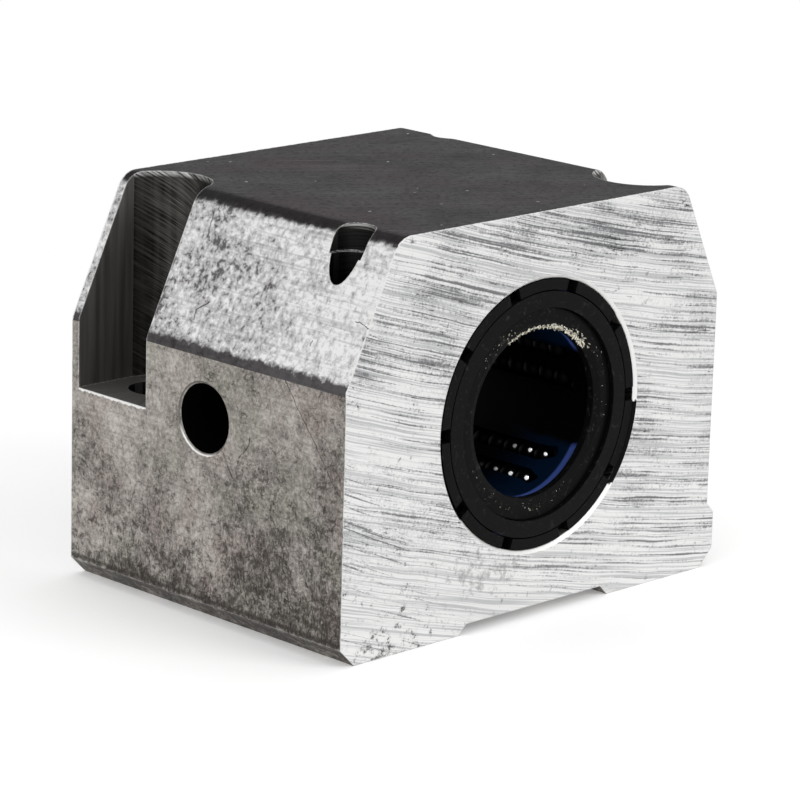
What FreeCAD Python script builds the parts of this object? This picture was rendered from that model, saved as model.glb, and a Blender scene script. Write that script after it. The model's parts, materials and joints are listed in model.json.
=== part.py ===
import FreeCAD, Part
import itertools
import math
import os

# Linear bearing block: an aluminium housing for a 25 mm shaft, with a sealed, self-aligning
# linear ball bearing in its bore. Millimetres. X is across the block, Y along the shaft and Z up,
# with the origin in the middle of the footprint, on the mounting plane.

# ---- Housing ----
block_width = 78.0
block_length = 58.0
block_height = 60.0
bore_height = 30.0             # mounting plane to shaft axis
seat_diameter = 40.0           # housing bore that seats the bearing
seat_chamfer = 0.5
slope_angle = 25.0             # lean of the shoulders from vertical
slope_foot_height = 39.4       # where a shoulder starts on a full-width side
crown_fillet = 3.5             # between shoulder and top
shoulder_fillet = 2.0          # between side and shoulder
foot_chamfer = 2.7
relief_half_width = 14.1       # shallow channel under the block, between the two feet
relief_depth = 1.5
relief_run = 1.5               # how far each flank of the channel leans out
locating_edge_height = 8.4     # top of the machined locating edge on the right foot
locating_edge_step = 1.5       # how far that edge stands proud of the right side

# ---- Fixing and dowel holes, each pair across one diagonal ----
hole_spacing_x = 60.0
hole_spacing_y = 40.0
screw_hole_diameter = 9.0
screw_pocket_width = 15.0      # counterbore run out through the side
screw_pocket_floor = 29.0
dowel_hole_diameter = 6.0
dowel_relief_diameter = 6.7
dowel_relief_floor = 56.0

# ---- Cross hole in the left side, into the bearing seat ----
cross_hole_diameter = 10.2
cross_hole_sink = 0.3          # broken edge at its mouth

# ---- Bearing ----
shaft_diameter = 25.0
bearing_recess = 0.3           # end rings behind the ends of the block
ring_fit = 0.1                 # radial gap from an end ring to the seat
cage_fit = 0.75                # radial gap from the cage to the seat
cage_shaft_gap = 0.3           # radial gap from the cage to the shaft
end_depth = 2.4                # axial depth of the end rings, which sets the cage length

# ---- Ball circuits: each plate loads two rows, and each row has its own return ----
plate_count = 5
first_plate_angle = -54.0      # from +X towards +Z
ball_diameter = 3.0
ball_pitch_gap = 0.12          # least gap between neighbouring balls
loaded_row_angle = 10.0        # loaded row from the middle of its plate
return_row_angle = 25.5
return_row_wall = 0.65         # from a returning ball out to the cage's own outside
turn_room = 5.3                # cage left at each end of the straight runs for the half turns
channel_gap = 0.22             # cage channel to ball, on the radius
groove_gap = 0.02              # plate groove to ball, on the radius
turn_steps = 4                 # flats round each half turn of a channel
channel_sides = 6

# ---- Raceway plates ----
plate_width = 10.0
plate_seat_depth = 0.8         # plate's inner face above the middle of its loaded balls
plate_crown_gap = 0.03         # crest of the plate to the seat
plate_crown_fall = 0.8         # slope of the crown each way from its crest, in degrees
plate_window_gap = 0.35        # plate to cage, all round

# ---- End rings, seal carriers and seals ----
finger_count = 10
finger_slot_width = 2.0
finger_thickness = 1.6
finger_root = 0.8              # solid depth of the end ring behind its fingers
carrier_gap = 0.2              # carrier to fingers, on the radius
seal_gap = 0.15                # seal to carrier, on the radius
seal_recess = 0.6              # seal face behind the carrier face
seal_depth = 1.6
seal_height = 3.05             # from the shaft to the seal's outside
lip_height = 1.1               # from the shaft to where the flat face turns in to the lip
lip_taper_depth = 0.5          # the lip's land runs from here to the back of the seal

# ---- Derived values ----
half_width = block_width / 2
half_length = block_length / 2
half_bearing = half_length - bearing_recess
seat_radius = seat_diameter / 2
shaft_radius = shaft_diameter / 2
ball_radius = ball_diameter / 2
loaded_row_radius = shaft_radius + ball_radius
half_cage = half_bearing - end_depth
cage_inner_radius = shaft_radius + cage_shaft_gap
cage_outer_radius = seat_radius - cage_fit
return_row_radius = cage_outer_radius - return_row_wall - ball_radius
straight_run = 2 * (half_cage - turn_room)
plate_length = straight_run
plate_inner_radius = loaded_row_radius + plate_seat_depth
finger_inner_radius = seat_radius - ring_fit - finger_thickness
seal_outer_radius = shaft_radius + seal_height
hole_x = hole_spacing_x / 2
hole_y = hole_spacing_y / 2
pocket_radius = screw_pocket_width / 2
plate_angles = [first_plate_angle + i * 360.0 / plate_count for i in range(plate_count)]

X = FreeCAD.Vector(1, 0, 0)
Y = FreeCAD.Vector(0, 1, 0)
Z = FreeCAD.Vector(0, 0, 1)
ORIGIN = FreeCAD.Vector(0, 0, 0)


def vec(x, y, z):
    return FreeCAD.Vector(x, y, z)


def cylinder(radius, start, end):
    """A solid cylinder from one point to another."""
    axis = end - start
    return Part.makeCylinder(radius, axis.Length, start, axis)


def box(low, high):
    """A box between its low and high corners."""
    size = high - low
    return Part.makeBox(size.x, size.y, size.z, low)


def ring_from_section(points):
    """Turn a closed section of (radius, y) points round the Y axis."""
    outline = [vec(radius, y, 0) for radius, y in points]
    face = Part.Face(Part.makePolygon(outline + [outline[0]]))
    return face.revolve(ORIGIN, Y, 360)


def edges_along_y(solid, x, z):
    """The edges that run along Y through the given (x, z)."""
    found = []
    for edge in solid.Edges:
        ends = [v.Point for v in edge.Vertexes]
        at_place = all(abs(p.x - x) < 1e-6 and abs(p.z - z) < 1e-6 for p in ends)
        if len(ends) == 2 and at_place:
            found.append(edge)
    return found


def turn_to(shape, angle):
    """Turn a shape made at the +X side round the bearing axis, towards +Z."""
    turned = shape.copy()
    turned.rotate(ORIGIN, Y, -angle)
    return turned


def seat(shape):
    """Lift a shape made round the Y axis to the axis of the housing bore."""
    lifted = shape.copy()
    lifted.translate(vec(0, 0, bore_height))
    return lifted


# ---- Housing ----
def housing_blank():
    """The sawn length of profile: feet, locating edge, shoulders and top."""
    lean = math.tan(math.radians(slope_angle))
    top_half = half_width - (block_height - slope_foot_height) * lean
    right = half_width - locating_edge_step
    right_foot = slope_foot_height + locating_edge_step / lean
    relief_foot = relief_half_width + relief_run
    outline = [
        (-half_width, foot_chamfer),
        (-half_width + foot_chamfer, 0),
        (-relief_foot, 0),
        (-relief_half_width, relief_depth),
        (relief_half_width, relief_depth),
        (relief_foot, 0),
        (half_width - foot_chamfer, 0),
        (half_width, foot_chamfer),
        (half_width, locating_edge_height),
        (right, locating_edge_height + locating_edge_step),
        (right, right_foot),
        (top_half, block_height),
        (-top_half, block_height),
        (-half_width, slope_foot_height),
    ]
    points = [vec(x, -half_length, z) for x, z in outline]
    blank = Part.Face(Part.makePolygon(points + [points[0]])).extrude(Y * block_length)
    crown = edges_along_y(blank, top_half, block_height)
    crown += edges_along_y(blank, -top_half, block_height)
    blank = blank.makeFillet(crown_fillet, crown)
    shoulders = edges_along_y(blank, right, right_foot)
    shoulders += edges_along_y(blank, -half_width, slope_foot_height)
    return blank.makeFillet(shoulder_fillet, shoulders)


def bearing_seat():
    """The through bore, with a chamfer at each mouth."""
    mouth = seat_radius + seat_chamfer
    inside = half_length - seat_chamfer
    return seat(ring_from_section([
        (0, -half_length),
        (mouth, -half_length),
        (seat_radius, -inside),
        (seat_radius, inside),
        (mouth, half_length),
        (0, half_length),
    ]))


def screw_pocket(side, y):
    """A cap screw's flat-floored slot, open above and out through one side."""
    x = side * hole_x
    floor = vec(x, y, screw_pocket_floor)
    end = cylinder(pocket_radius, floor, vec(x, y, block_height + 1))
    outside = side * (half_width + 1)
    run_out = box(
        vec(min(x, outside), y - pocket_radius, screw_pocket_floor),
        vec(max(x, outside), y + pocket_radius, block_height + 1),
    )
    hole = cylinder(screw_hole_diameter / 2, vec(x, y, 0), floor)
    return [end.fuse(run_out), hole]


def dowel_hole(side, y):
    """A reamed hole right through, opened a little wider where it breaks out on top."""
    x = side * hole_x
    top = vec(x, y, block_height + 1)
    hole = cylinder(dowel_hole_diameter / 2, vec(x, y, 0), top)
    relief = cylinder(dowel_relief_diameter / 2, vec(x, y, dowel_relief_floor), top)
    return [hole, relief]


def cross_hole():
    """The hole in the left side, level with the shaft, that reaches the bearing seat."""
    radius = cross_hole_diameter / 2
    mouth = vec(-half_width, 0, bore_height)
    hole = cylinder(radius, mouth, vec(0, 0, bore_height))
    sink = Part.makeCone(radius + cross_hole_sink, radius, cross_hole_sink, mouth, X)
    return [hole, sink]


def make_housing():
    cutters = [bearing_seat()]
    cutters += screw_pocket(-1, hole_y)
    cutters += screw_pocket(1, -hole_y)
    cutters += dowel_hole(-1, -hole_y)
    cutters += dowel_hole(1, hole_y)
    cutters += cross_hole()
    return housing_blank().cut(cutters)


# ---- Ball circuits, made at the +X side of the bearing axis ----
class Circuit:
    """One endless row: a loaded run, a return run and a half turn at each end."""

    def __init__(self, side):
        loaded = math.radians(side * loaded_row_angle)
        back = math.radians(side * return_row_angle)
        self.loaded = vec(math.cos(loaded), 0, math.sin(loaded)) * loaded_row_radius
        self.back = vec(math.cos(back), 0, math.sin(back)) * return_row_radius
        self.middle = (self.loaded + self.back) * 0.5
        self.turn_radius = (self.back - self.loaded).Length / 2
        self.across = (self.back - self.loaded).normalize()
        turn = math.pi * self.turn_radius
        self.length = 2 * (straight_run + turn)
        self.ball_count = int(self.length // (ball_diameter + ball_pitch_gap))

    def turn_point(self, end, angle):
        """A point on the half turn at one end, from 0 at the loaded run to 180 degrees."""
        a = math.radians(angle)
        along = end * (straight_run / 2 + self.turn_radius * math.sin(a))
        return self.middle - self.across * (self.turn_radius * math.cos(a)) + Y * along

    def point_at(self, distance):
        """A point on the circuit, measured along it from the middle of the loaded run."""
        half = straight_run / 2
        turn = math.pi * self.turn_radius
        d = distance % self.length
        if d <= half:
            return self.loaded + Y * d
        if d <= half + turn:
            return self.turn_point(1, math.degrees((d - half) / self.turn_radius))
        if d <= half + turn + straight_run:
            return self.back + Y * (half - (d - half - turn))
        if d <= half + 2 * turn + straight_run:
            past = d - half - turn - straight_run
            return self.turn_point(-1, 180 - math.degrees(past / self.turn_radius))
        return self.loaded + Y * (d - self.length)

    def ball_centres(self):
        pitch = self.length / self.ball_count
        return [self.point_at((i + 0.5) * pitch) for i in range(self.ball_count)]

    def is_loaded(self, centre):
        """True for a ball that the plate carries."""
        on_row = (centre - self.loaded).dot(self.across) < self.turn_radius
        return on_row and abs(centre.y) < straight_run / 2

    def channel_sections(self):
        """Where a channel's flats meet: each point of the path and its way outward."""
        sections = []
        for end in (1, -1):
            centre_of_turn = self.middle + Y * (end * straight_run / 2)
            for step in range(turn_steps + 1):
                angle = 180.0 * step / turn_steps
                if end < 0:
                    angle = 180.0 - angle
                point = self.turn_point(end, angle)
                sections.append((point, (point - centre_of_turn).normalize()))
        return sections

    def channel(self):
        """The endless channel that the cage leaves free for the balls, with flat sides."""
        corner = (ball_radius + channel_gap) / math.cos(math.pi / channel_sides)
        up = self.across.cross(Y)
        loops = []
        for point, outward in self.channel_sections():
            loop = []
            for i in range(channel_sides):
                a = 2 * math.pi * (i + 0.5) / channel_sides
                loop.append(point + outward * (corner * math.cos(a)) + up * (corner * math.sin(a)))
            loops.append(loop)
        faces = []
        for here, following in zip(loops, loops[1:] + loops[:1]):
            for i in range(channel_sides):
                j = (i + 1) % channel_sides
                corners = [here[i], here[j], following[j], following[i], here[i]]
                faces.append(Part.Face(Part.makePolygon(corners)))
        solid = Part.makeSolid(Part.makeShell(faces))
        if solid.Volume < 0:
            solid.reverse()
        return solid


CIRCUITS = [Circuit(-1), Circuit(1)]


def ball(centre):
    """A ball as an eight-sided solid with its corners on the true sphere, as the set is large."""
    faces = []
    for x, y, z in itertools.product((-ball_radius, ball_radius), repeat=3):
        tips = [centre + X * x, centre + Y * y, centre + Z * z]
        faces.append(Part.Face(Part.makePolygon(tips + [tips[0]])))
    return Part.makeSolid(Part.makeShell(faces))


BALL = ball(ORIGIN)


def balls_at(centres):
    solids = []
    for centre in centres:
        copy = BALL.copy()
        copy.translate(centre)
        solids.append(copy)
    return Part.makeCompound(solids)


def make_loaded_balls():
    centres = []
    for circuit in CIRCUITS:
        centres += [c for c in circuit.ball_centres() if circuit.is_loaded(c)]
    return balls_at(centres)


def make_return_balls():
    centres = []
    for circuit in CIRCUITS:
        centres += [c for c in circuit.ball_centres() if not circuit.is_loaded(c)]
    return balls_at(centres)


def make_plate():
    """A hardened plate with two ground grooves and a crowned back to rock on."""
    half = plate_length / 2
    bar = box(
        vec(plate_inner_radius, -half, -plate_width / 2),
        vec(seat_radius, half, plate_width / 2),
    )
    crest = seat_radius - plate_crown_gap
    for way in (-1, 1):
        back = cylinder(crest, Y * -plate_length, Y * plate_length)
        back.rotate(X * crest, Z, way * plate_crown_fall)
        bar = bar.common(back)
    grooves = []
    for circuit in CIRCUITS:
        start = circuit.loaded - Y * half
        grooves.append(cylinder(ball_radius + groove_gap, start, circuit.loaded + Y * half))
    return bar.cut(grooves)


def plate_window():
    """The cage opening that holds a plate."""
    half = plate_length / 2 + plate_window_gap
    width = plate_width / 2 + plate_window_gap
    floor = plate_inner_radius - plate_window_gap
    return box(vec(floor, -half, -width), vec(seat_radius, half, width))


def make_cage():
    """A moulded tube with a window for each plate and a closed channel for each row."""
    tube = ring_from_section([
        (cage_inner_radius, -half_cage),
        (cage_outer_radius, -half_cage),
        (cage_outer_radius, half_cage),
        (cage_inner_radius, half_cage),
    ])
    cutters = []
    for angle in plate_angles:
        cutters.append(turn_to(plate_window(), angle))
        cutters += [turn_to(circuit.channel(), angle) for circuit in CIRCUITS]
    return tube.cut(cutters)


# ---- End pieces, made for the +Y end ----
def make_end_ring():
    """A ring of snap fingers against the end of the cage."""
    root = half_cage + finger_root
    ring = ring_from_section([
        (finger_inner_radius, half_cage),
        (seat_radius - ring_fit, half_cage),
        (seat_radius - ring_fit, half_bearing),
        (finger_inner_radius, half_bearing),
    ])
    slots = []
    for i in range(finger_count):
        slot = box(
            vec(finger_inner_radius - 1, root, -finger_slot_width / 2),
            vec(seat_radius, half_bearing, finger_slot_width / 2),
        )
        slots.append(turn_to(slot, i * 360.0 / finger_count))
    return ring.cut(slots)


def make_seal_carrier():
    """The flat ring that snaps in between the fingers."""
    inner = seal_outer_radius + seal_gap
    outer = finger_inner_radius - carrier_gap
    return ring_from_section([
        (inner, half_cage),
        (outer, half_cage),
        (outer, half_bearing),
        (inner, half_bearing),
    ])


def make_seal():
    """A wiper with a flat face and a lip that leans in to the shaft."""
    face = half_bearing - seal_recess
    back = face - seal_depth
    return ring_from_section([
        (seal_outer_radius, back),
        (seal_outer_radius, face),
        (shaft_radius + lip_height, face),
        (shaft_radius, face - lip_taper_depth),
        (shaft_radius, back),
    ])


def at_both_ends(shape):
    """A +Y end piece with its twin at the -Y end."""
    return seat(Part.makeCompound([shape, shape.mirror(ORIGIN, Y)]))


def main():
    parts = {"housing": make_housing(), "ball_cage": seat(make_cage())}
    plate = make_plate()
    loaded = make_loaded_balls()
    returning = make_return_balls()
    for number, angle in enumerate(plate_angles, start=1):
        parts[f"raceway_plate_{number}"] = seat(turn_to(plate, angle))
        parts[f"loaded_balls_{number}"] = seat(turn_to(loaded, angle))
        parts[f"return_balls_{number}"] = seat(turn_to(returning, angle))
    parts["end_rings"] = at_both_ends(make_end_ring())
    parts["seal_carriers"] = at_both_ends(make_seal_carrier())
    parts["seals"] = at_both_ends(make_seal())
    os.makedirs("parts", exist_ok=True)
    for name, shape in parts.items():
        shape.exportStep(f"parts/{name}.step")
    print(len(parts), "pieces,", CIRCUITS[0].ball_count, "balls in each circuit")


main()
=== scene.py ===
import json
import math
import random

import bmesh
import bpy
from mathutils import Matrix, Vector


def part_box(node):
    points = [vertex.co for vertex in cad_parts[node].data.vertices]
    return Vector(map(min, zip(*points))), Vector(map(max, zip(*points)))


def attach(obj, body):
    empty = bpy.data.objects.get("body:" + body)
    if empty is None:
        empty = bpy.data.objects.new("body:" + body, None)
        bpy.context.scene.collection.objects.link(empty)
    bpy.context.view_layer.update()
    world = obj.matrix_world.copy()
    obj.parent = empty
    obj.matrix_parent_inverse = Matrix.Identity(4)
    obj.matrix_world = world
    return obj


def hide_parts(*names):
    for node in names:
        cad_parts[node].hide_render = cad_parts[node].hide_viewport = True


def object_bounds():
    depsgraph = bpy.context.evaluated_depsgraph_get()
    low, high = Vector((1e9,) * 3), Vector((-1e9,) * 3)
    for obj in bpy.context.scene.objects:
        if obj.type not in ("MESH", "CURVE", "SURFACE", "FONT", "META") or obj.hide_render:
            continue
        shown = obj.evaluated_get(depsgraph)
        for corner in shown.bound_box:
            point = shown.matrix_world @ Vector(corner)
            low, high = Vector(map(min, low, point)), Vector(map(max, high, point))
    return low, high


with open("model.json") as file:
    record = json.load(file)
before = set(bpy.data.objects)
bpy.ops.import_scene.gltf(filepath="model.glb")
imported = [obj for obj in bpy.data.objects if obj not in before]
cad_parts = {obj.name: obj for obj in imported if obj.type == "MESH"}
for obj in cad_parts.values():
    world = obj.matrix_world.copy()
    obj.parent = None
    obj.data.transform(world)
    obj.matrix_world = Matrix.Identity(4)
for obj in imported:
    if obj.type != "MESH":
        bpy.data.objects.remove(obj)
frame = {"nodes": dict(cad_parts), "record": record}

cad_low, cad_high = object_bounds()
nodes = frame["nodes"]
MM = 0.001

# ---- Places on the block, in millimetres, worked out from the frame where it gives them ----
block_half_width = cad_high.x / MM
block_half_length = cad_high.y / MM
block_height = cad_high.z / MM
mounts = {m["name"]: m for m in frame["record"]["mounts"]}
shaft_height = mounts["shaft_bore"]["pos_m"][2] / MM
shaft_radius = mounts["shaft_bore"]["dims"]["r_mm"]
cross_hole = (0.0, *(v / MM for v in mounts["cross_hole"]["pos_m"][1:]))
cross_hole_radius = mounts["cross_hole"]["dims"]["r_mm"]
dowel_x, dowel_y = (abs(v) / MM for v in mounts["dowel_hole_left"]["pos_m"][:2])
seal_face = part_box("seals")[1].y / MM
cage_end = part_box("ball_cage")[1].y / MM
pocket_floor = 29.0
pocket_radius = 7.5
slope_foot = 39.4

# A few hundredths under size, so that neighbours stay clear when a segment tilts.
ball_radius = 1.46

# ---- Centres of the saw's arcs, far above the block and to its right ----
saw_centre = Vector((121.0, 0.0, 515.0))
second_saw_centre = Vector((55.0, 0.0, 214.0))

# ---- Scratches on the left side, and short cracks beside its hole: each from and to (y, z),
# its half width, and its tone ----
side_scratches = (
    ((-16.3, 39.5), (-27.5, 25.2), 0.09, "#3f3a37"),
    ((-9.3, 29.9), (-8.4, 27.4), 0.10, "#332f2c"),
    ((-8.4, 27.4), (-7.0, 26.4), 0.10, "#332f2c"),
    ((-4.5, 25.0), (-5.9, 23.1), 0.09, "#3a3633"),
    ((16.3, 14.0), (15.0, 17.8), 0.07, "#4a4541"),
)
shoulder_scratches = (
    ((5.3, 45.3), (3.0, 46.6), 0.13, "#484546"),
    ((5.3, 45.3), (4.9, 43.9), 0.10, "#484546"),
    ((8.4, 58.0), (8.0, 54.6), 0.10, "#484546"),
    ((-25.5, 49.0), (-29.0, 48.6), 0.09, "#484546"),
    ((-19.0, 45.2), (-18.9, 44.4), 0.12, "#484546"),
)

# ---- Flakes of dried grease: how many, from and to what angle, how far out, how large ----
flake_groups = (
    (220, 41, 78, 0.06, 0.70, 0.30),
    (190, 66, 118, 0.06, 0.42, 0.27),
    (24, 38, 62, 0.5, 1.3, 0.36),
    (22, 112, 142, 0.8, 2.2, 0.14),
    (16, -100, -60, 0.5, 1.8, 0.13),
    (10, -10, 35, 1.2, 2.6, 0.12),
    (12, 190, 250, 0.6, 2.4, 0.10),
)
flake_corners = 9

# ---- Light and view, in metres, watts, degrees and millimetres of lens ----
studio_light = 0.8
white_background = 0.95
floor_lift = 0.22
floor_fade = (0.06, 0.16)
floor_half_size = 3.0
lens = 174.2
view_azimuth, view_elevation, view_roll = -44.87, 14.30, 1.563
view_distance = 0.5755
view_shift = (0.0004, -0.0299)


# ---- Small helpers ----
def colour(code):
    """An sRGB hex colour as linear RGBA."""
    channels = [int(code[i:i + 2], 16) / 255 for i in (1, 3, 5)]
    linear = [c / 12.92 if c <= 0.04045 else ((c + 0.055) / 1.055) ** 2.4 for c in channels]
    return (*linear, 1.0)


def add(tree, kind, inputs=(), **settings):
    """One shader node with its settings; each input takes a value, a node or a socket."""
    node = tree.nodes.new("ShaderNode" + kind)
    for name, value in settings.items():
        setattr(node, name, value)
    for socket, value in dict(inputs).items():
        if isinstance(value, bpy.types.Node):
            value = value.outputs[0]
        if isinstance(value, bpy.types.NodeSocket):
            tree.links.new(value, node.inputs[socket])
        else:
            node.inputs[socket].default_value = value
    return node


def new_material(name, **sockets):
    """A material with one Principled shader: its node tree, the shader, and the place in mm."""
    material = bpy.data.materials.new(name)
    material.use_nodes = True
    tree = material.node_tree
    tree.nodes.clear()
    shader = add(tree, "BsdfPrincipled")
    for socket, value in sockets.items():
        shader.inputs[socket.replace("_", " ")].default_value = value
    output = tree.nodes.new("ShaderNodeOutputMaterial")
    tree.links.new(shader.outputs[0], output.inputs["Surface"])
    place = add(tree, "TexCoord").outputs["Object"]
    millimetres = add(tree, "VectorMath", {0: place, "Scale": 1 / MM}, operation="SCALE")
    return material, tree, shader, millimetres


def coats(tree, tone, layers):
    """Coats over a tone: each covers up to its share as its value goes from bare to full."""
    for value, bare, full, share, shade in layers:
        cover = add(tree, "MapRange", {"Value": value, "From Min": bare, "From Max": full,
                                       "To Max": share})
        tone = add(tree, "MixRGB", {"Fac": cover, "Color1": tone, "Color2": colour(shade)})
    return tone


def reach_from(tree, mm, centre, stretch):
    """How far a place lies from a centre, with each axis stretched by its own share."""
    out = add(tree, "VectorMath", {0: mm, 1: centre}, operation="SUBTRACT")
    out = add(tree, "VectorMath", {0: out, 1: stretch}, operation="MULTIPLY")
    return add(tree, "VectorMath", {0: out}, operation="LENGTH").outputs["Value"]


def dress(node_name, material):
    """Give a CAD node its material."""
    for slot in nodes[node_name].material_slots:
        slot.material = material


def put(name, data):
    """A new object in the scene."""
    thing = bpy.data.objects.new(name, data)
    bpy.context.scene.collection.objects.link(thing)
    return thing


def finished_piece(name, mesh, material):
    """A built mesh as an object with its material."""
    data = bpy.data.meshes.new(name)
    mesh.to_mesh(data)
    mesh.free()
    data.materials.append(material)
    return put(name, data)


# ---- Aluminium housing ----
def housing_masks(tree, mm):
    """Where each finish of the housing lies, from the way the surface faces and its place."""
    place = add(tree, "SeparateXYZ", {0: mm})
    facing = add(tree, "SeparateXYZ", {0: add(tree, "NewGeometry").outputs["Normal"]})
    across, along, face_across, face_along = (
        add(tree, "Math", {0: part.outputs[axis]}, operation="ABSOLUTE")
        for part in (place, facing) for axis in "XY")
    z, up = place.outputs["Z"], facing.outputs["Z"]
    # Half a turn about the upright axis leaves the block as it is, so its marks turn with it.
    way = add(tree, "Math", {0: place.outputs["X"]}, operation="SIGN")
    back = add(tree, "Math", {0: place.outputs["Y"], 1: way}, operation="MULTIPLY")
    end, shoulder, side, mouth = (
        add(tree, "Math", {
            0: add(tree, "Math", {0: spot, 1: past}, operation="GREATER_THAN"),
            1: add(tree, "Math", {0: facet, 1: least}, operation="GREATER_THAN")},
            operation="MULTIPLY")
        for spot, past, facet, least in (
            (along, block_half_length - 0.1, face_along, 0.9),
            (z, slope_foot - 1.5, up, 0.02),
            (across, block_half_width - 1.7, face_across, 0.3),
            (along, block_half_length - 0.55, face_along, 0.5)))
    under = add(tree, "Math", {0: up, 1: -0.3}, operation="LESS_THAN")
    side = add(tree, "Math", {0: side, 1: under}, operation="MAXIMUM")
    at_side = add(tree, "Math", {0: across, 1: block_half_width - 0.15},
                  operation="GREATER_THAN")
    # The turned chamfer at each mouth of the bearing seat.
    oblique = add(tree, "Math", {0: face_along, 1: 0.9}, operation="LESS_THAN")
    chamfer = add(tree, "Math", {0: mouth, 1: oblique}, operation="MULTIPLY")
    # The top's film, which ends in a ragged, darker crest on the rounded edges.
    smear = add(tree, "TexNoise", {"Vector": mm, "Scale": 0.6, "Detail": 5.0,
                                   "Roughness": 0.65})
    level = add(tree, "Math", {0: smear, 1: 0.4, 2: up}, operation="MULTIPLY_ADD")
    crown = add(tree, "MapRange", {"Value": level, "From Min": 0.70, "From Max": 0.92},
                interpolation_type="SMOOTHSTEP")
    crest_in = add(tree, "MapRange", {"Value": level, "From Min": 0.80, "From Max": 0.98})
    crest_out = add(tree, "MapRange", {"Value": up, "From Min": 0.999, "From Max": 0.95,
                                       "To Max": 0.8})
    crest = add(tree, "Math", {0: crest_in, 1: crest_out}, operation="MULTIPLY")
    # The shoulder's foot: painted shade where the surface turns from the side into the shoulder,
    # and a ragged darker band about 1 mm wide.
    rise, fall = (
        add(tree, "MapRange", {"Value": up, "From Min": start, "From Max": stop},
            interpolation_type="SMOOTHSTEP")
        for start, stop in ((0.0, 0.09), (0.415, 0.30)))
    bend = add(tree, "Math", {0: rise, 1: fall}, operation="MULTIPLY")
    bend = add(tree, "Math", {0: bend, 1: 0.45}, operation="MULTIPLY")
    ragged = add(tree, "TexNoise", {"Vector": mm, "Scale": 0.9, "Detail": 5.0,
                                    "Roughness": 0.7})
    level = add(tree, "Math", {0: ragged, 1: 2.4, 2: z}, operation="MULTIPLY_ADD")
    band = add(tree, "MapRange", {"Value": level, "From Min": slope_foot + 2.7,
                                  "From Max": slope_foot + 2.0})
    bend = add(tree, "Math", {0: bend, 1: band}, operation="MAXIMUM")
    bend = add(tree, "Math", {0: bend, 1: 0.92}, operation="MULTIPLY")
    return {"place": place, "facing": facing, "across": across, "along": along, "back": back,
            "end": end, "shoulder": shoulder, "side": side, "at_side": at_side,
            "chamfer": chamfer,
            "crown": crown, "crest": crest, "bend": bend}


def arcs(tree, mm, centre, wander):
    """Cutter paths round a far centre: distance across the arcs, then along them, in mm."""
    spoke = add(tree, "VectorMath", {0: mm, 1: centre}, operation="SUBTRACT")
    parts = add(tree, "SeparateXYZ", {0: spoke})
    reach = add(tree, "CombineXYZ", {0: parts.outputs["X"], 2: parts.outputs["Z"]})
    radius = add(tree, "VectorMath", {0: reach}, operation="LENGTH").outputs["Value"]
    angle = add(tree, "Math", {0: parts.outputs["X"], 1: parts.outputs["Z"]}, operation="ARCTAN2")
    arc = add(tree, "Math", {0: angle, 1: centre.length}, operation="MULTIPLY")
    radius = add(tree, "Math", {0: wander, 1: 0.9, 2: radius}, operation="MULTIPLY_ADD")
    return add(tree, "CombineXYZ", {0: radius, 1: arc, 2: parts.outputs["Y"]})


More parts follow.
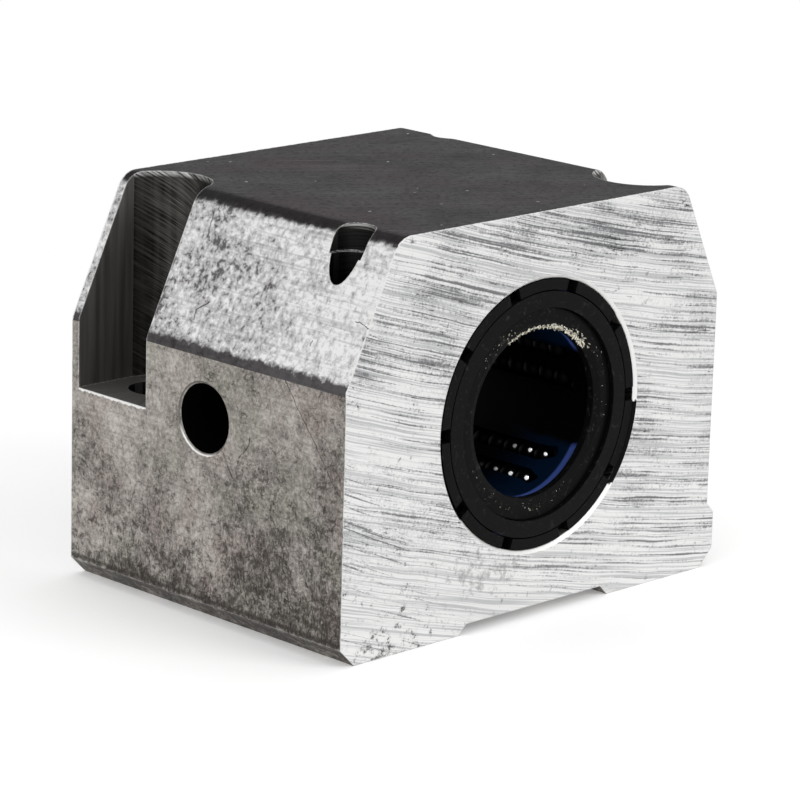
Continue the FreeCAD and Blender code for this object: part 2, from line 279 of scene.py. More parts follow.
def sawn_end(tree, mm, place):
    """Sawn end: bright metal under long, nearly straight arcs, with grime in the deeper ones."""
    wander = add(tree, "TexNoise", {"Vector": mm, "Scale": 0.07, "Detail": 2.0})
    main = arcs(tree, mm, saw_centre, wander)
    steep = arcs(tree, mm, second_saw_centre, wander)
    # Hair scores 0.2 mm apart and 20 mm long, grime lines 0.4 mm apart, dashes 5 mm long.
    hair, lines, steep_lines, dashes = (
        add(tree, "TexNoise", {
            "Vector": add(tree, "VectorMath", {0: paths, 1: (close, long, 0.3)},
                          operation="MULTIPLY"),
            "Scale": 1.0, "Detail": detail, "Roughness": rough, "Distortion": bent})
        for paths, close, long, detail, rough, bent in (
            (main, 4.2, 0.035, 1.5, 0.6, 0.0),
            (main, 2.3, 0.030, 3.0, 0.7, 0.0),
            (steep, 2.1, 0.030, 3.0, 0.7, 0.0),
            (main, 2.6, 0.20, 5.0, 0.75, 0.2)))
    # The steeper arcs show in the lower left corner only, and cross the others there.
    corner = add(tree, "Math", {0: place.outputs["X"], 1: place.outputs["Z"]}, operation="ADD")
    corner = add(tree, "Math", {0: wander, 1: 24.0, 2: corner}, operation="MULTIPLY_ADD")
    faint, absent = (
        add(tree, "MapRange", {"Value": corner, "From Max": 14.0, "To Min": inside,
                               "To Max": outside})
        for inside, outside in ((0.07, 0.0), (0.02, 0.22)))
    crossing = add(tree, "Math", {0: steep_lines, 1: absent}, operation="SUBTRACT")
    lines = add(tree, "Math", {0: lines, 1: faint}, operation="SUBTRACT")
    lines = add(tree, "Math", {0: lines, 1: crossing}, operation="MAXIMUM")
    # A darker patch above the seat, blots in the lower left corner, and a cloud under the seat.
    smudge, foot, under = (
        add(tree, "MapRange", {
            "Value": reach_from(tree, mm, (x, -block_half_length, z), (wide, 1.0, high)),
            "From Min": edge, "From Max": core, "To Max": share})
        for x, z, wide, high, edge, core, share in (
            (11.0, 54.0, 0.11, 0.26, 1.2, 0.2, 0.05),
            (-30.0, 0.0, 0.07, 0.09, 1.0, 0.0, 0.10),
            (-11.0, 9.0, 0.07, 0.16, 1.0, 0.2, 0.11)))
    patches = add(tree, "TexNoise", {"Vector": mm, "Scale": 0.075, "Detail": 5.0,
                                     "Roughness": 0.62})
    grime = add(tree, "MapRange", {"Value": patches, "From Min": 0.35, "From Max": 0.68,
                                   "To Min": -0.05, "To Max": 0.05})
    grime = add(tree, "Math", {0: grime, 1: smudge}, operation="ADD")
    low = add(tree, "MapRange", {"Value": place.outputs["Z"], "From Min": 14.0, "From Max": 3.0,
                                 "To Max": 0.05})
    grime = add(tree, "Math", {0: grime, 1: low}, operation="SUBTRACT")
    grain = add(tree, "TexNoise", {"Vector": mm, "Scale": 2.2, "Detail": 6.0, "Roughness": 0.8})
    level = add(tree, "Math", {0: grain, 1: 0.34, 2: grime}, operation="MULTIPLY_ADD")
    blots = add(tree, "TexNoise", {"Vector": mm, "Scale": 0.7, "Detail": 7.0,
                                   "Roughness": 0.75})
    blots = add(tree, "Math", {0: blots, 1: foot}, operation="ADD")
    clouds = add(tree, "Math", {0: blots, 1: under}, operation="ADD")
    line_level = add(tree, "Math", {0: lines, 1: level}, operation="ADD")
    dash_level = add(tree, "Math", {0: dashes, 1: level}, operation="ADD")
    tone = coats(tree, colour("#e8e8e7"), (
        (level, 0.16, 0.27, 0.8, "#b9babb"),
        (hair, 0.46, 0.62, 0.55, "#96979a"),
        (line_level, 0.705, 0.795, 0.85, "#626365"),
        (dash_level, 0.80, 0.86, 1.0, "#3a3a39"),
        (clouds, 0.58, 0.70, 0.6, "#8e8e8e"),
        (blots, 0.64, 0.70, 0.85, "#4d4c49")))
    return tone, add(tree, "Math", {0: hair, 1: lines}, operation="ADD")


def drawn_side(tree, mm, z, back):
    """Drawn skin of the sides: warm grey oxide, mottled, with dark pits along the draw."""
    blotch = add(tree, "TexNoise", {"Vector": mm, "Scale": 0.14, "Detail": 8.0,
                                    "Roughness": 0.74})
    tint = add(tree, "TexNoise", {"Vector": mm, "Scale": 0.11, "Detail": 4.0})
    pits = add(tree, "TexNoise", {"Vector": mm, "Scale": 0.9, "Detail": 9.0, "Roughness": 0.76,
                                  "Distortion": 0.6})
    grain = add(tree, "TexNoise", {"Vector": mm, "Scale": 1.7, "Detail": 5.0, "Roughness": 0.85})
    stretched = add(tree, "VectorMath", {0: mm, 1: (1.0, 0.03, 2.2)}, operation="MULTIPLY")
    lines = add(tree, "TexNoise", {"Vector": stretched, "Scale": 1.0, "Detail": 5.0})
    upright = add(tree, "VectorMath", {0: mm, 1: (1.0, 3.4, 0.9)}, operation="MULTIPLY")
    flecks = add(tree, "TexNoise", {"Vector": upright, "Scale": 1.0, "Detail": 6.0,
                                    "Roughness": 0.7})
    crazing = add(tree, "TexNoise", {"Vector": mm, "Scale": 0.45, "Detail": 5.0,
                                     "Roughness": 0.62, "Distortion": 0.5})
    # The skin is darker toward one end and toward its foot.
    far = add(tree, "MapRange", {"Value": back, "From Min": 10.0, "From Max": -24.0,
                                 "To Min": -0.01, "To Max": 0.05})
    dim = add(tree, "MapRange", {"Value": z, "From Min": 24.0, "From Max": 6.0,
                                 "To Max": -0.045})
    blotch = add(tree, "Math", {0: blotch, 1: far}, operation="ADD")
    blotch = add(tree, "Math", {0: blotch, 1: dim}, operation="ADD")
    base = add(tree, "ValToRGB", {"Fac": blotch})
    ramp = base.color_ramp.elements
    ramp[0].position, ramp[0].color = 0.33, colour("#77726d")
    ramp[1].position, ramp[1].color = 0.68, colour("#cbc6bf")
    ramp.new(0.50).color = colour("#9f9993")
    # Pits and flecks gather low down and in the darker clouds.
    low = add(tree, "MapRange", {"Value": z, "From Min": 30.0, "From Max": 2.0,
                                 "To Min": -0.03, "To Max": 0.08})
    cloud = add(tree, "MapRange", {"Value": blotch, "From Min": 0.62, "From Max": 0.36,
                                   "To Min": -0.05, "To Max": 0.04})
    low = add(tree, "Math", {0: low, 1: cloud}, operation="ADD")
    dark = add(tree, "Math", {0: pits, 1: low}, operation="ADD")
    speck = add(tree, "Math", {0: flecks, 1: low}, operation="ADD")
    # Veins about 0.1 mm wide, where the skin has crazed, in the darker clouds.
    crazing = add(tree, "Math", {0: crazing, 1: 0.5}, operation="SUBTRACT")
    crazing = add(tree, "Math", {0: crazing}, operation="ABSOLUTE")
    crazing = add(tree, "Math", {0: cloud, 1: -0.25, 2: crazing}, operation="MULTIPLY_ADD")
    tone = coats(tree, base, (
        (tint, 0.52, 0.68, 0.35, "#8a9080"),
        (tint, 0.48, 0.34, 0.35, "#9c8a86"),
        (grain, 0.50, 0.36, 0.45, "#d3cec8"),
        (grain, 0.46, 0.62, 0.5, "#5d5854"),
        (lines, 0.50, 0.75, 0.35, "#5f5a57"),
        (dark, 0.54, 0.62, 0.85, "#4e4945"),
        (speck, 0.58, 0.70, 1.0, "#383431"),
        (crazing, 0.016, 0.004, 0.7, "#3a3633")))
    # Grime in two lines along the foot of each side.
    foot = add(tree, "Math", {0: pits, 1: 0.9, 2: z}, operation="MULTIPLY_ADD")
    for line_height, darkness in ((3.3, 0.75), (1.9, 0.6)):
        off = add(tree, "Math", {0: foot, 1: line_height + 0.45}, operation="SUBTRACT")
        off = add(tree, "Math", {0: off}, operation="ABSOLUTE")
        tone = coats(tree, tone, ((off, 0.5, 0.1, darkness, "#3d3936"),))
    return tone, pits


def scratched(tree, tone, mm, ragged, scratches):
    """Thin scratches on the block's left, ragged at their edges, over a tone."""
    left = -block_half_width + 0.5
    across = add(tree, "SeparateXYZ", {0: mm}).outputs["X"]
    on_left = add(tree, "Math", {0: across, 1: 0.0}, operation="LESS_THAN")
    for start, stop, width, shade in scratches:
        start, stop = Vector((left, *start)), Vector((left, *stop))
        way = (stop - start).normalized()
        from_start = add(tree, "VectorMath", {0: mm, 1: start}, operation="SUBTRACT")
        along = add(tree, "VectorMath", {0: from_start, 1: way}, operation="DOT_PRODUCT")
        along = along.outputs["Value"]
        foot = add(tree, "VectorMath", {0: way, "Scale": along}, operation="SCALE")
        off = add(tree, "VectorMath", {0: from_start, 1: foot}, operation="SUBTRACT")
        off = add(tree, "VectorMath", {0: off, 1: (0.0, 1.0, 1.0)}, operation="MULTIPLY")
        off = add(tree, "VectorMath", {0: off}, operation="LENGTH").outputs["Value"]
        off = add(tree, "Math", {0: ragged, 1: width * 2.0, 2: off}, operation="MULTIPLY_ADD")
        near = add(tree, "MapRange", {"Value": off, "From Min": width * 2.1,
                                      "From Max": width * 1.3})
        begun = add(tree, "Math", {0: along, 1: 0.0}, operation="GREATER_THAN")
        ended = add(tree, "Math", {0: along, 1: (stop - start).length}, operation="LESS_THAN")
        inside = add(tree, "Math", {0: begun, 1: ended}, operation="MULTIPLY")
        inside = add(tree, "Math", {0: inside, 1: on_left}, operation="MULTIPLY")
        line = add(tree, "Math", {0: near, 1: inside}, operation="MULTIPLY")
        tone = add(tree, "MixRGB", {"Fac": line, "Color1": tone, "Color2": colour(shade)})
    return tone


def bright_slope(tree, mm, back):
    """Shoulders: the same skin but much brighter, with grey specks gathered in clouds."""
    clouds = add(tree, "TexNoise", {"Vector": mm, "Scale": 0.15, "Detail": 5.0,
                                    "Roughness": 0.65})
    specks = add(tree, "TexNoise", {"Vector": mm, "Scale": 1.1, "Detail": 8.0,
                                    "Roughness": 0.66, "Distortion": 0.2})
    stretched = add(tree, "VectorMath", {0: mm, 1: (2.0, 0.05, 2.0)}, operation="MULTIPLY")
    lines = add(tree, "TexNoise", {"Vector": stretched, "Scale": 1.0, "Detail": 4.0})
    gather = add(tree, "MapRange", {"Value": clouds, "From Min": 0.36, "From Max": 0.66,
                                    "To Min": -0.08, "To Max": 0.07})
    far = add(tree, "MapRange", {"Value": back, "From Min": 26.0, "From Max": -6.0,
                                 "To Min": -0.11, "To Max": 0.03})
    gather = add(tree, "Math", {0: gather, 1: far}, operation="ADD")
    # A flat smudge along the draw, high on the shoulder.
    smudge = reach_from(tree, mm, (-block_half_width, 0.0, 54.0), (0.0, 0.18, 1.1))
    smudge = add(tree, "MapRange", {"Value": smudge, "From Min": 1.0, "From Max": 0.2,
                                    "To Max": 0.10})
    gather = add(tree, "Math", {0: gather, 1: smudge}, operation="ADD")
    level = add(tree, "Math", {0: specks, 1: gather}, operation="ADD")
    tone = coats(tree, colour("#f0efef"), (
        (level, 0.36, 0.64, 1.0, "#969495"),
        (lines, 0.50, 0.72, 0.5, "#858384"),
        (level, 0.57, 0.64, 0.8, "#555353")))
    return tone, specks


def dark_top(tree, mm):
    """Top: a charcoal film, reddish in places, with slanting smears and a few pale nicks."""
    film = add(tree, "TexNoise", {"Vector": mm, "Scale": 0.10, "Detail": 6.0, "Roughness": 0.65})
    tint = add(tree, "TexNoise", {"Vector": mm, "Scale": 0.06, "Detail": 3.0})
    specks = add(tree, "TexNoise", {"Vector": mm, "Scale": 1.1, "Detail": 7.0,
                                    "Roughness": 0.75})
    turned = add(tree, "VectorRotate", {"Vector": mm, "Angle": math.radians(35)},
                 rotation_type="Z_AXIS")
    stretched = add(tree, "VectorMath", {0: turned, 1: (0.05, 3.5, 1.0)}, operation="MULTIPLY")
    smears = add(tree, "TexNoise", {"Vector": stretched, "Scale": 1.0, "Detail": 4.0})
    nicks = add(tree, "TexNoise", {"Vector": mm, "Scale": 0.7, "Detail": 3.0})
    return coats(tree, colour("#3a393a"), (
        (film, 0.35, 0.65, 1.0, "#4d4d4e"),
        (tint, 0.48, 0.66, 0.6, "#4a4142"),
        (specks, 0.49, 0.62, 0.9, "#282727"),
        (smears, 0.55, 0.78, 0.6, "#747274"),
        (nicks, 0.725, 0.745, 1.0, "#a9a9a8")))


def milled_pocket(tree, mm, masks):
    """Pockets and holes: milled metal painted dark as shade in the recesses, with slanting cutter
    marks on the round walls.
    """
    z, facing = masks["place"].outputs["Z"], masks["facing"]
    in_notch = add(tree, "Math", {0: masks["back"], 1: 0.0}, operation="GREATER_THAN")
    x = add(tree, "Math", {0: masks["across"], 1: dowel_x}, operation="SUBTRACT")
    y = add(tree, "Math", {0: masks["back"], 1: dowel_y}, operation="ADD")
    turn = add(tree, "Math", {0: y, 1: x}, operation="ARCTAN2")
    girth = add(tree, "Math", {0: turn, 1: pocket_radius}, operation="MULTIPLY")
    slant = add(tree, "Math", {0: z, 1: 0.6, 2: girth}, operation="MULTIPLY_ADD")
    slide = add(tree, "Math", {0: girth, 1: -0.6, 2: z}, operation="MULTIPLY_ADD")
    unrolled = add(tree, "CombineXYZ", {0: slant, 1: slide})
    stretched = add(tree, "VectorMath", {0: unrolled, 1: (0.10, 3.2, 1.0)}, operation="MULTIPLY")
    marks = add(tree, "TexNoise", {"Vector": stretched, "Scale": 1.0, "Detail": 5.0,
                                   "Roughness": 0.7})
    upright = add(tree, "VectorMath", {0: mm, 1: (0.8, 0.8, 0.03)}, operation="MULTIPLY")
    stripes = add(tree, "TexNoise", {"Vector": upright, "Scale": 1.0, "Detail": 4.0})
    # The flat walls show only upright stripes, the round walls are painted darker shade, and the
    # floor is painted brighter, a painted reflection.
    face = add(tree, "Math", {0: facing.outputs["Y"]}, operation="ABSOLUTE")
    round_wall = add(tree, "Math", {0: face, 1: 0.985}, operation="LESS_THAN")
    flat_tone, round_tone = (
        coats(tree, colour(dim), ((stripes, 0.38, 0.64, 1.0, bright),))
        for dim, bright in (("#696764", "#8a8885"), ("#191817", "#383634")))
    light = add(tree, "MapRange", {"Value": marks, "From Min": 0.42, "From Max": 0.72})
    light = add(tree, "Math", {0: light, 1: 0.6}, operation="MULTIPLY")
    light = add(tree, "Math", {0: light, 1: round_wall}, operation="MULTIPLY")
    floor = add(tree, "Math", {0: facing.outputs["Z"], 1: 0.9}, operation="GREATER_THAN")
    floor_tone = add(tree, "MixRGB", {"Fac": marks, "Color1": colour("#4c4a48"),
                                      "Color2": colour("#b5b3b0")})
    # The notches are near black, and the rims in the top get a painted highlight.
    notch_black = add(tree, "Math", {0: in_notch, 1: 0.85}, operation="MULTIPLY")
    rim = add(tree, "MapRange", {"Value": z, "From Min": block_height - 0.9,
                                 "From Max": block_height - 0.4})
    rim = add(tree, "Math", {0: rim, 1: light}, operation="MULTIPLY")
    rim = add(tree, "Math", {0: rim, 1: 2.0}, operation="MULTIPLY", use_clamp=True)
    tone = flat_tone
    for mask, finish in ((round_wall, round_tone), (light, colour("#807e7c")),
                         (floor, floor_tone), (notch_black, colour("#161515")),
                         (rim, colour("#f0f0ee"))):
        tone = add(tree, "MixRGB", {"Fac": mask, "Color1": tone, "Color2": finish})
    return tone


def bare_edges(tree, masks, ragged):
    """Bare metal along the burred end edges of the top, and on the pockets' floor edges."""
    level = add(tree, "Math", {0: ragged, 1: 0.7, 2: masks["along"]}, operation="MULTIPLY_ADD")
    burr = add(tree, "Math", {0: level, 1: block_half_length + 0.17}, operation="GREATER_THAN")
    burr = add(tree, "Math", {0: burr, 1: masks["shoulder"]}, operation="MULTIPLY")
    height = masks["place"].outputs["Z"]
    level = add(tree, "Math", {0: ragged, 1: 1.0, 2: height}, operation="MULTIPLY_ADD")
    lip = add(tree, "Math", {0: level, 1: pocket_floor + 0.15}, operation="GREATER_THAN")
    under = add(tree, "Math", {0: height, 1: pocket_floor + 0.05}, operation="LESS_THAN")
    y = add(tree, "Math", {0: masks["back"], 1: dowel_y}, operation="ADD")
    y = add(tree, "Math", {0: y}, operation="ABSOLUTE")
    by_pocket = add(tree, "Math", {0: y, 1: pocket_radius}, operation="LESS_THAN")
    for limit in (under, masks["at_side"], by_pocket):
        lip = add(tree, "Math", {0: lip, 1: limit}, operation="MULTIPLY")
    return add(tree, "Math", {0: burr, 1: lip}, operation="MAXIMUM")


def knocked_and_highlit_edges(tree, ragged):
    """Every sharp edge is painted bright, partly knocked bare metal and partly a painted
    highlight: the rounded normal leaves the flat one there.
    """
    rolled = add(tree, "Bevel", {"Radius": 0.35 * MM}, samples=6)
    sheer = add(tree, "NewGeometry").outputs["Normal"]
    edge = add(tree, "VectorMath", {0: rolled, 1: sheer}, operation="DOT_PRODUCT")
    edge = add(tree, "MapRange", {"Value": edge.outputs["Value"], "From Min": 0.985,
                                  "From Max": 0.88})
    knock_and_highlight = add(tree, "MapRange", {"Value": ragged, "From Min": 0.40, "From Max": 0.60,
                                     "To Min": 0.15, "To Max": 0.9})
    return add(tree, "Math", {0: edge, 1: knock_and_highlight}, operation="MULTIPLY")


def seat_chamfer(tree, height, ragged):
    """The seat's chamfer is bright, but black on a stretch at the right."""
    level = add(tree, "Math", {0: ragged, 1: 2.5, 2: height}, operation="MULTIPLY_ADD")
    below = add(tree, "Math", {0: level, 1: shaft_height + 0.2}, operation="LESS_THAN")
    above = add(tree, "Math", {0: level, 1: shaft_height - 11.7}, operation="GREATER_THAN")
    dark_stretch = add(tree, "Math", {0: below, 1: above}, operation="MULTIPLY")
    return add(tree, "MixRGB", {"Fac": dark_stretch, "Color1": colour("#f2f2f0"),
                                "Color2": colour("#151515")})


def cross_hole_edge(tree, mm, masks, ragged):
    """The cross hole's countersunk edge, painted on with a painted highlight on its lower stretch
    and painted shade on the rest, and its inside painted black as shade.
    """
    out = add(tree, "VectorMath", {0: mm, 1: cross_hole}, operation="SUBTRACT")
    reach = reach_from(tree, mm, cross_hole, (0.0, 1.0, 1.0))
    reach = add(tree, "Math", {0: ragged, 1: 0.5, 2: reach}, operation="MULTIPLY_ADD")
    on_left = add(tree, "Math", {0: masks["place"].outputs["X"], 1: 0.0}, operation="LESS_THAN")
    deep = add(tree, "Math", {0: masks["across"], 1: block_half_width - 0.3},
               operation="LESS_THAN")
    rim, in_hole = (
        add(tree, "Math", {
            0: add(tree, "Math", {
                0: add(tree, "Math", {0: reach, 1: cross_hole_radius + margin},
                       operation="LESS_THAN"),
                1: where}, operation="MULTIPLY"),
            1: on_left}, operation="MULTIPLY")
        for margin, where in ((0.62, masks["at_side"]), (0.4, deep)))
    lean = add(tree, "VectorMath", {0: out, 1: (0.0, 0.35, -1.0)}, operation="DOT_PRODUCT")
    rim_light_and_shade = coats(tree, colour("#76716c"), (
        (lean.outputs["Value"], 3.4, 4.8, 1.0, "#f0efed"),))
    return rim, rim_light_and_shade, in_hole


def housing_aluminium():
    """Extruded aluminium, sawn at the ends and left as drawn elsewhere, grey with age."""
    material, tree, shader, mm = new_material("extruded_aluminium", Specular_IOR_Level=0.01)
    masks = housing_masks(tree, mm)
    height = masks["place"].outputs["Z"]
    ragged = add(tree, "TexNoise", {"Vector": mm, "Scale": 1.4, "Detail": 5.0, "Roughness": 0.7})
    end_tone, end_height = sawn_end(tree, mm, masks["place"])
    side_tone, side_pits = drawn_side(tree, mm, height, masks["back"])
    slope_tone, slope_specks = bright_slope(tree, mm, masks["back"])
    bends = add(tree, "TexNoise", {"Vector": mm, "Scale": 0.5, "Detail": 2.0})
    bends = add(tree, "VectorMath", {0: bends.outputs["Color"], 1: mm}, operation="ADD")
    side_tone = scratched(tree, side_tone, bends, ragged, side_scratches)
    shoulder_tone = slope_tone
    # The bend's colour is partly painted shade where the side turns into the shoulder.
    for mask, finish in ((masks["crown"], dark_top(tree, mm)),
                         (masks["crest"], colour("#242223")),
                         (masks["bend"], colour("#322e2f"))):
        shoulder_tone = add(tree, "MixRGB", {"Fac": mask, "Color1": shoulder_tone,
                                             "Color2": finish})
    shoulder_tone = scratched(tree, shoulder_tone, bends, ragged, shoulder_scratches)
    # The cross hole's edge is painted light and shade, and its inside is painted black as shade.
    rim, rim_light_and_shade, in_hole = cross_hole_edge(tree, mm, masks, ragged)
    tone = milled_pocket(tree, mm, masks)
    for mask, finish in ((masks["side"], side_tone), (masks["shoulder"], shoulder_tone),
                         (masks["end"], end_tone),
                         (bare_edges(tree, masks, ragged), colour("#eeeeec")),
                         (knocked_and_highlit_edges(tree, ragged), colour("#e6e6e4")),
                         (masks["chamfer"], seat_chamfer(tree, height, ragged)),
                         (rim, rim_light_and_shade), (in_hole, colour("#161514"))):
        tone = add(tree, "MixRGB", {"Fac": mask, "Color1": tone, "Color2": finish})
    tree.links.new(tone.outputs[0], shader.inputs["Base Color"])
    # The film on the top is dull and not metal.
    filmed = add(tree, "Math", {0: masks["crown"], 1: masks["shoulder"]}, operation="MULTIPLY")
    metal = add(tree, "MapRange", {"Value": filmed, "To Min": 0.85, "To Max": 0.0})
    tree.links.new(metal.outputs[0], shader.inputs["Metallic"])
    rough = add(tree, "MixRGB", {"Fac": masks["end"], "Color1": (0.50,) * 3 + (1,),
                                 "Color2": (0.40,) * 3 + (1,)})
    tree.links.new(rough.outputs[0], shader.inputs["Roughness"])
    relief = add(tree, "Math", {0: side_pits, 1: slope_specks}, operation="ADD")
    relief = add(tree, "MixRGB", {"Fac": masks["end"], "Color1": relief, "Color2": end_height})
    rounded = add(tree, "Bevel", {"Radius": 0.25 * MM}, samples=4)
    bump = add(tree, "Bump", {"Height": relief, "Strength": 0.6, "Distance": 0.05 * MM,
                              "Normal": rounded})
    tree.links.new(bump.outputs[0], shader.inputs["Normal"])
    return material


# ---- Bearing ----
def moulded_black(name, tone, scuff, rough, groove=0.0):
    """Black moulded nylon or rubber: even, slightly glossy, with pale scuffs and dust."""
    material, tree, shader, mm = new_material(name, Specular_IOR_Level=0.06)
    scuffs = add(tree, "TexNoise", {"Vector": mm, "Scale": 0.9, "Detail": 8.0,
                                    "Roughness": 0.75, "Distortion": 1.2})
    mixed = coats(tree, colour(tone), ((scuffs, 0.56, 0.70, 0.8, scuff),))
    if groove:
        # A painted shadow fills the outer groove on the right hand, in black.
        reach = reach_from(tree, mm, (0.0, 0.0, shaft_height), (1.0, 0.0, 1.0))
        across = add(tree, "SeparateXYZ", {0: mm})
        width = add(tree, "MapRange", {"Value": across.outputs["X"], "From Min": 2.0,
                                       "From Max": 16.0})
        inner = add(tree, "Math", {0: groove, 1: width}, operation="SUBTRACT")
        painted_groove_shadow = add(tree, "Math", {0: reach, 1: inner}, operation="GREATER_THAN")
        mixed = add(tree, "MixRGB", {"Fac": painted_groove_shadow, "Color1": mixed,
                                     "Color2": colour("#020202")})
    tree.links.new(mixed.outputs[0], shader.inputs["Base Color"])
    gloss = add(tree, "MapRange", {"Value": scuffs, "From Min": 0.3, "From Max": 0.7,
                                   "To Min": rough - 0.08, "To Max": rough + 0.12})
    tree.links.new(gloss.outputs[0], shader.inputs["Roughness"])
    rounded = add(tree, "Bevel", {"Radius": 0.12 * MM}, samples=4)
    bump = add(tree, "Bump", {"Height": scuffs, "Strength": 0.3, "Distance": 0.02 * MM,
                              "Normal": rounded})
    tree.links.new(bump.outputs[0], shader.inputs["Normal"])
    return material


def bore_shade(tree, mm):
    """Painted shade in the bore: where it is painted black, where it is left unshaded, and how
    far in.
    """
    place = add(tree, "SeparateXYZ", {0: mm})
    ragged = add(tree, "TexNoise", {"Vector": mm, "Scale": 0.5, "Detail": 4.0})
    level = add(tree, "Math", {0: ragged, 1: 1.2, 2: place.outputs["Z"]},
                operation="MULTIPLY_ADD")
    # Painted shade in a band at shaft height, and over all of it far inside.
    lower = add(tree, "MapRange", {"Value": level, "From Min": shaft_height - 6.7,
                                   "From Max": shaft_height - 6.0})
    upper = add(tree, "MapRange", {"Value": level, "From Min": shaft_height + 8.8,
                                   "From Max": shaft_height + 7.6})
    belt = add(tree, "Math", {0: lower, 1: upper}, operation="MULTIPLY")
    along = add(tree, "Math", {0: place.outputs["Y"]}, operation="ABSOLUTE")
    inside = add(tree, "MapRange", {"Value": along, "From Min": cage_end - 4.0,
                                    "From Max": cage_end - 15.0},
                 interpolation_type="SMOOTHSTEP")
    painted_shade = add(tree, "Math", {0: belt, 1: inside}, operation="MAXIMUM")
    return painted_shade, add(tree, "Math", {0: 1.0, 1: painted_shade}, operation="SUBTRACT"), along


def cage_plastic():
    """Blue acetal cage: its blue painted deep and dark as shade in the bore, painted black in the
    deepest shade, with a painted highlight on its mouth.
    """
    material, tree, shader, mm = new_material("blue_acetal_cage", Roughness=0.30,
                                              Specular_IOR_Level=0.12)
    painted_shade, unshaded, along = bore_shade(tree, mm)
    film = add(tree, "TexNoise", {"Vector": mm, "Scale": 0.35, "Detail": 5.0})
    # The blue is painted very dark, as shade in the bore.
    tone = add(tree, "MixRGB", {"Fac": film, "Color1": colour("#041223"),
                                "Color2": colour("#071d36")})
    # A painted highlight round the cage's mouth, only outside the painted shade.
    rim = add(tree, "MapRange", {"Value": along, "From Min": cage_end - 1.3,
                                 "From Max": cage_end - 0.9, "To Max": 0.7})
    rim = add(tree, "Math", {0: rim, 1: unshaded}, operation="MULTIPLY")
    for mask, shade in ((painted_shade, "#020203"), (rim, "#4f67b8")):
        tone = add(tree, "MixRGB", {"Fac": mask, "Color1": tone, "Color2": colour(shade)})
    tree.links.new(tone.outputs[0], shader.inputs["Base Color"])
    return material


def hardened_steel():
    """Ground steel with fine lines along the shaft and a thin oil film."""
    material, tree, shader, mm = new_material("ground_plate_steel", Metallic=1.0)
    stretched = add(tree, "VectorMath", {0: mm, 1: (3.0, 0.15, 3.0)}, operation="MULTIPLY")
    lines = add(tree, "TexNoise", {"Vector": stretched, "Scale": 1.0, "Detail": 4.0})
    tone = add(tree, "MixRGB", {"Fac": lines, "Color1": colour("#7a7a7c"),
                                "Color2": colour("#2c2c2e")})
    tree.links.new(tone.outputs[0], shader.inputs["Base Color"])
    gloss = add(tree, "MapRange", {"Value": lines, "To Min": 0.3, "To Max": 0.45})
    tree.links.new(gloss.outputs[0], shader.inputs["Roughness"])
    return material


def bearing_steel():
    """Chrome-steel balls painted black as shade, each with a small mirror-smooth painted glint
    toward the mouth.
    """
    material, tree, shader, mm = new_material("polished_ball_steel", Metallic=1.0)
    unshaded = bore_shade(tree, mm)[1]
    # The glint is a painted highlight where the ball faces the mouth, and none falls in the
    # painted shade.
    normal = add(tree, "NewGeometry").outputs["Normal"]
    toward = add(tree, "VectorMath", {0: normal, 1: (-0.49, -0.75, 0.44)},
                 operation="DOT_PRODUCT")
    film = add(tree, "TexNoise", {"Vector": mm, "Scale": 1.2, "Detail": 3.0})
    level = add(tree, "Math", {0: film, 1: 0.08, 2: toward.outputs["Value"]},
                operation="MULTIPLY_ADD")
    painted_glint = add(tree, "MapRange", {"Value": level, "From Min": 1.008, "From Max": 1.025})
    painted_glint = add(tree, "Math", {0: painted_glint, 1: unshaded}, operation="MULTIPLY")
    tone = add(tree, "MixRGB", {"Fac": painted_glint, "Color1": colour("#0c0c0d"),
                                "Color2": colour("#f4f4f6")})
    tree.links.new(tone.outputs[0], shader.inputs["Base Color"])
    gloss = add(tree, "MapRange", {"Value": painted_glint, "To Min": 0.55, "To Max": 0.08})
    tree.links.new(gloss.outputs[0], shader.inputs["Roughness"])
    return material


def ball_centres(node_name):
    """The middle of each ball in a CAD node."""
    mesh = bmesh.new()
    mesh.from_mesh(nodes[node_name].data)
    bmesh.ops.remove_doubles(mesh, verts=mesh.verts, dist=0.01 * MM)
    waiting = set(mesh.verts)
    centres = []
    for start in mesh.verts:
        if start not in waiting:
            continue
        waiting.discard(start)
        island = [start]
        for vertex in island:
            for edge in vertex.link_edges:
                other = edge.other_vert(vertex)
                if other in waiting:
                    waiting.discard(other)
                    island.append(other)
        centres.append(sum((v.co for v in island), Vector()) / len(island))
    mesh.free()
    return centres


def round_balls(node_name, body, fineness, material):
    """True round balls in place of a CAD node's faceted ones."""
    mesh = bmesh.new()
    for centre in ball_centres(node_name):
        bmesh.ops.create_icosphere(mesh, subdivisions=fineness, radius=ball_radius * MM,
                                   matrix=Matrix.Translation(centre))
    for face in mesh.faces:
        face.smooth = True
    balls = finished_piece("round_" + node_name, mesh, material)
    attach(balls, body)
    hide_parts(node_name)


def dried_grease():
    """Dried grease and metal dust in crumbs: dull, yellowish white, darker where it is thin."""
    material, tree, shader, mm = new_material("dried_grease", Roughness=0.75)
    crumbs = add(tree, "TexNoise", {"Vector": mm, "Scale": 2.5, "Detail": 5.0})
    tone = coats(tree, colour("#8c8878"), ((crumbs, 0.36, 0.54, 1.0, "#f2eedd"),))
    tree.links.new(tone.outputs[0], shader.inputs["Base Color"])
    return material


def crumb(mesh, chance, middle, size, lean):
    """One ragged flake: the hull of a few points round its middle, long along its lean."""
    long_way = Vector((math.cos(lean), 0, math.sin(lean)))
    cross_way = Vector((-math.sin(lean), 0, math.cos(lean)))
    corners = []
    for _ in range(flake_corners):
        offset = long_way * chance.uniform(-1, 1) * size
        offset += cross_way * chance.uniform(-1, 1) * size * 0.18
        offset += Vector((0, 1, 0)) * chance.uniform(-0.12, 0.0)
        corners.append(mesh.verts.new((middle + offset) * MM))
    hull = bmesh.ops.convex_hull(mesh, input=corners)
    spare = [v for v in hull["geom_interior"] if isinstance(v, bmesh.types.BMVert)]
    bmesh.ops.delete(mesh, geom=spare, context="VERTS")


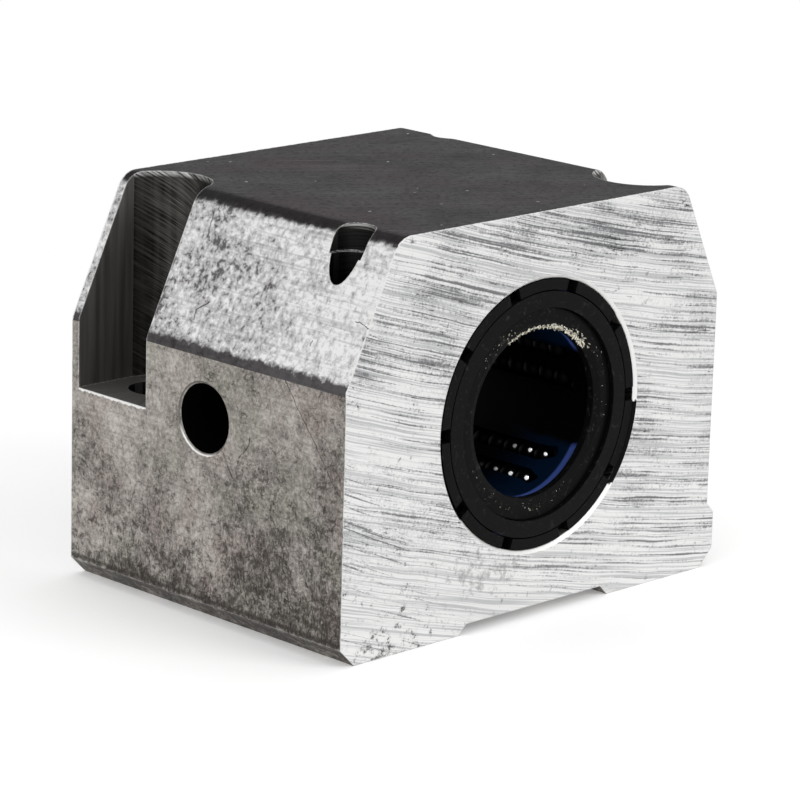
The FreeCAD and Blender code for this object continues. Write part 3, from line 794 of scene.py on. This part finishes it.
def grease_crumbs(material):
    """Flakes that the lip has wiped off the shaft, thickest at the upper right of the mouth."""
    chance = random.Random(25)
    mesh = bmesh.new()
    for count, start, stop, near, far, size in flake_groups:
        for _ in range(count):
            angle = math.radians(chance.uniform(start, stop))
            out = shaft_radius + chance.uniform(near, far)
            # The seal slopes in by 0.5 mm over its innermost 1.1 mm.
            on_face = min(1.0, (out - shaft_radius) / 1.1)
            depth = -seal_face + 0.5 * (1 - on_face)
            middle = Vector((out * math.cos(angle), depth, shaft_height + out * math.sin(angle)))
            lean = angle + chance.choice((0, math.pi / 2)) + chance.gauss(0, 0.5)
            crumb(mesh, chance, middle, size * chance.uniform(0.4, 1.5), lean)
    crumbs = finished_piece("grease_crumbs", mesh, material)
    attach(crumbs, "block")


# ---- Stage, light and camera ----
def showing_rays(tree):
    """1 for the rays that show the background: seen straight, in gloss or through glass."""
    rays = add(tree, "LightPath")
    seen = add(tree, "Math", {0: rays.outputs["Is Camera Ray"],
                              1: rays.outputs["Is Glossy Ray"]}, operation="MAXIMUM")
    return add(tree, "Math", {0: seen, 1: rays.outputs["Is Transmission Ray"]},
               operation="MAXIMUM")


def stage():
    """A pale floor that fades into a white background."""
    size = floor_half_size
    data = bpy.data.meshes.new("floor")
    data.from_pydata([(-size, -size, 0), (size, -size, 0), (size, size, 0), (-size, size, 0)],
                     [], [(0, 1, 2, 3)])
    floor = put("floor", data)
    floor.location.z = -0.02 * MM
    material = bpy.data.materials.new("pale_floor")
    material.use_nodes = True
    tree = material.node_tree
    tree.nodes.clear()
    diffuse = add(tree, "BsdfDiffuse", {"Color": colour("#f8f8f8")})
    backdrop = add(tree, "Emission", {"Color": colour("#ffffff"), "Strength": 1.0})
    spot = add(tree, "TexCoord").outputs["Object"]
    distance = add(tree, "VectorMath", {0: spot}, operation="LENGTH").outputs["Value"]
    far = add(tree, "MapRange", {"Value": distance, "From Min": floor_fade[0],
                                 "From Max": floor_fade[1]}, interpolation_type="SMOOTHSTEP")
    seen = showing_rays(tree)
    share = add(tree, "Math", {0: far, 1: seen}, operation="MULTIPLY")
    lift = add(tree, "Math", {0: seen, 1: floor_lift}, operation="MULTIPLY")
    lifted = add(tree, "Emission", {"Color": colour("#ffffff"), "Strength": lift})
    near = add(tree, "AddShader", {0: diffuse, 1: lifted})
    mixed = add(tree, "MixShader", {0: share, 1: near, 2: backdrop})
    output = tree.nodes.new("ShaderNodeOutputMaterial")
    tree.links.new(mixed.outputs[0], output.inputs["Surface"])
    data.materials.append(material)

    world = bpy.data.worlds.new("studio")
    bpy.context.scene.world = world
    world.use_nodes = True
    tree = world.node_tree
    tree.nodes.clear()
    strength = add(tree, "MapRange", {"Value": showing_rays(tree), "To Min": studio_light,
                                      "To Max": white_background})
    light = add(tree, "Background", {"Color": colour("#ffffff"), "Strength": strength})
    output = tree.nodes.new("ShaderNodeOutputWorld")
    tree.links.new(light.outputs[0], output.inputs["Surface"])


def lamp(name, place, size, power):
    """A soft square lamp that faces the middle of the block."""
    data = bpy.data.lights.new(name, "AREA")
    data.shape = "SQUARE"
    data.size = size
    data.energy = power
    holder = put(name, data)
    holder.location = place
    facing = Vector((0, 0, shaft_height * MM)) - Vector(place)
    holder.rotation_euler = facing.to_track_quat("-Z", "Y").to_euler()


def camera():
    """A long lens, a little above the block and towards its front left edge."""
    azimuth, elevation, roll = map(math.radians, (view_azimuth, view_elevation, view_roll))
    back = Vector((math.sin(azimuth) * math.cos(elevation),
                   -math.cos(azimuth) * math.cos(elevation), math.sin(elevation)))
    right = Vector((math.cos(azimuth), math.sin(azimuth), 0))
    up = back.cross(right)
    turned_right = right * math.cos(roll) + up * math.sin(roll)
    turned_up = up * math.cos(roll) - right * math.sin(roll)
    data = bpy.data.cameras.new("camera")
    data.sensor_width = 36.0
    data.lens = lens
    data.shift_x, data.shift_y = view_shift
    view = put("camera", data)
    turn = Matrix((turned_right, turned_up, back)).transposed().to_4x4()
    middle = Vector((0, 0, shaft_height * MM))
    view.matrix_world = Matrix.Translation(middle + back * view_distance) @ turn
    bpy.context.scene.camera = view


# ---- Build ----
dress("housing", housing_aluminium())
dress("end_rings", moulded_black("black_nylon_ring", "#0a0a0a", "#303030", 0.52))
dress("seal_carriers", moulded_black("black_nylon_carrier", "#0b0b0b", "#3a3a3a", 0.50))
dress("seals", moulded_black("nitrile_rubber_seal", "#090909", "#484846", 0.58,
                             groove=shaft_radius + 3.1))
dress("ball_cage", cage_plastic())
plate_steel = hardened_steel()
ball_steel = bearing_steel()
for body, members in frame["record"]["behaviour"]["bodies"].items():
    for name in members:
        if name.startswith("raceway_plate"):
            dress(name, plate_steel)
        elif name.startswith("loaded_balls"):
            round_balls(name, body, 3, ball_steel)
        elif name.startswith("return_balls"):
            round_balls(name, body, 2, ball_steel)

grease_crumbs(dried_grease())
stage()
lamp("key", (0.30, -0.80, 0.55), 0.45, 2.6)
lamp("fill", (-0.8, -0.35, 0.35), 0.8, 0.8)
camera()
bpy.context.scene.view_settings.view_transform = "Standard"
